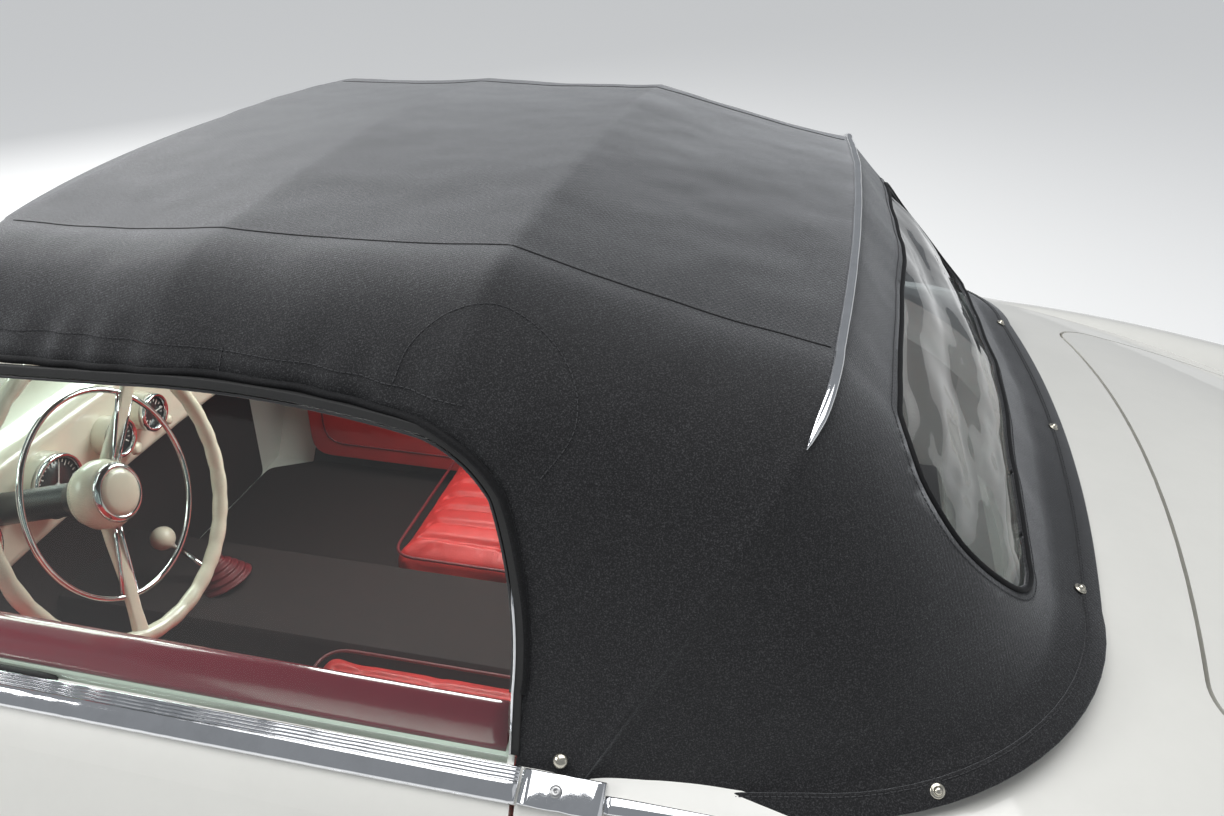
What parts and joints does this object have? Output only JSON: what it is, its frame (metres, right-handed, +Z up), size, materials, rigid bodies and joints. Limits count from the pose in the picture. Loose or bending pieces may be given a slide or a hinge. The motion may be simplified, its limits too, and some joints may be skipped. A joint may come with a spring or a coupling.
{
  "type": "two-seat convertible car",
  "caption": "Two-seat convertible car with its cloth top raised, opening doors, bonnet and boot lid, steered front wheels and turning wheels.",
  "frame": {"origin": "on the ground under the middle of the car's length and width", "axes": "+X forward, +Y to the left (driver's) side, +Z up"},
  "size_m": [4.29, 1.74, 1.322],
  "materials": {
    "bow_paint": "satin black",
    "chrome": "polished",
    "clear_sheet": "clear flexible sheet",
    "cloth": "black woven cloth",
    "engine": "cast",
    "glass": "clear",
    "ivory": "gloss ivory",
    "lamp": "clear moulded",
    "leather": "red leather",
    "paint": "gloss cream white",
    "red_lamp": "translucent red",
    "steel": "painted black",
    "tyre": "matt"
  },
  "bodies": {
    "body": {"body_front": "paint", "cowl": "paint", "floor_pan": "paint", "body_rear": "paint", "windscreen_frame": "chrome", "windscreen_glass": "glass", "soft_top": "cloth", "rear_window": "clear_sheet", "top_bows": "bow_paint", "bow_trim": "chrome", "steering_column": "ivory", "dashboard": "paint", "seat_cushion_left": "leather", "seat_cushion_right": "leather", "seat_back_left": "leather", "seat_back_right": "leather", "gear_lever": "ivory", "front_suspension": "steel", "rear_axle": "steel", "drivetrain": "engine", "exhaust": "steel", "front_bumper": "chrome", "rear_bumper": "chrome", "headlamp_left": "lamp", "headlamp_right": "lamp", "tail_lamp_left": "red_lamp", "tail_lamp_right": "red_lamp", "grille": "chrome"},
    "steering_wheel": {"steering_wheel": "ivory"},
    "bonnet": {"bonnet": "paint"},
    "boot_lid": {"boot_lid": "paint"},
    "door_left": {"door_left": "paint", "door_glass_left": "glass"},
    "knuckle_left": {"knuckle_left": "steel"},
    "wheel_front_left": {"tyre_front_left": "tyre", "rim_front_left": "paint"},
    "wheel_rear_left": {"tyre_rear_left": "tyre", "rim_rear_left": "paint"},
    "door_right": {"door_right": "paint", "door_glass_right": "glass"},
    "knuckle_right": {"knuckle_right": "steel"},
    "wheel_front_right": {"tyre_front_right": "tyre", "rim_front_right": "paint"},
    "wheel_rear_right": {"tyre_rear_right": "tyre", "rim_rear_right": "paint"}
  },
  "joints": [
    {"name": "steer_left", "type": "hinge", "parent": "body", "child": "knuckle_left", "pos_m": [1.351, 0.632, 0.32], "axis": [0, 0, 1], "range_deg": [-32, 32]},
    {"name": "steer_right", "type": "hinge", "parent": "body", "child": "knuckle_right", "pos_m": [1.351, -0.632, 0.32], "axis": [0, 0, 1], "range_deg": [-32, 32]},
    {"name": "wheel_front_left_spin", "type": "hinge", "parent": "knuckle_left", "child": "wheel_front_left", "pos_m": [1.351, 0.72, 0.32], "axis": [0, 1, 0], "continuous": true},
    {"name": "wheel_front_right_spin", "type": "hinge", "parent": "knuckle_right", "child": "wheel_front_right", "pos_m": [1.351, -0.72, 0.32], "axis": [0, 1, 0], "continuous": true},
    {"name": "wheel_rear_left_spin", "type": "hinge", "parent": "body", "child": "wheel_rear_left", "pos_m": [-1.049, 0.72, 0.32], "axis": [0, 1, 0], "continuous": true},
    {"name": "wheel_rear_right_spin", "type": "hinge", "parent": "body", "child": "wheel_rear_right", "pos_m": [-1.049, -0.72, 0.32], "axis": [0, 1, 0], "continuous": true},
    {"name": "steering_wheel_turn", "type": "hinge", "parent": "body", "child": "steering_wheel", "pos_m": [0.213, 0.35, 0.864], "axis": [-0.9598, 0, 0.2807], "range_deg": [-592, 592]},
    {"name": "door_left_hinge", "type": "hinge", "parent": "body", "child": "door_left", "pos_m": [0.5355, 0.853, 0.52], "axis": [0, 0, -1], "range_deg": [0, 65]},
    {"name": "door_right_hinge", "type": "hinge", "parent": "body", "child": "door_right", "pos_m": [0.5355, -0.853, 0.52], "axis": [0, 0, 1], "range_deg": [0, 65]},
    {"name": "bonnet_hinge", "type": "hinge", "parent": "body", "child": "bonnet", "pos_m": [0.782, 0, 0.944], "axis": [0, -1, 0], "range_deg": [0, 60]},
    {"name": "boot_lid_hinge", "type": "hinge", "parent": "body", "child": "boot_lid", "pos_m": [-1.148, 0, 0.934], "axis": [0, 1, 0], "range_deg": [0, 70]}
  ],
  "couplings": [
    {"joint": "steer_right", "follows": "steer_left", "ratio": 1},
    {"joint": "steering_wheel_turn", "follows": "steer_left", "ratio": 18.5}
  ]
}
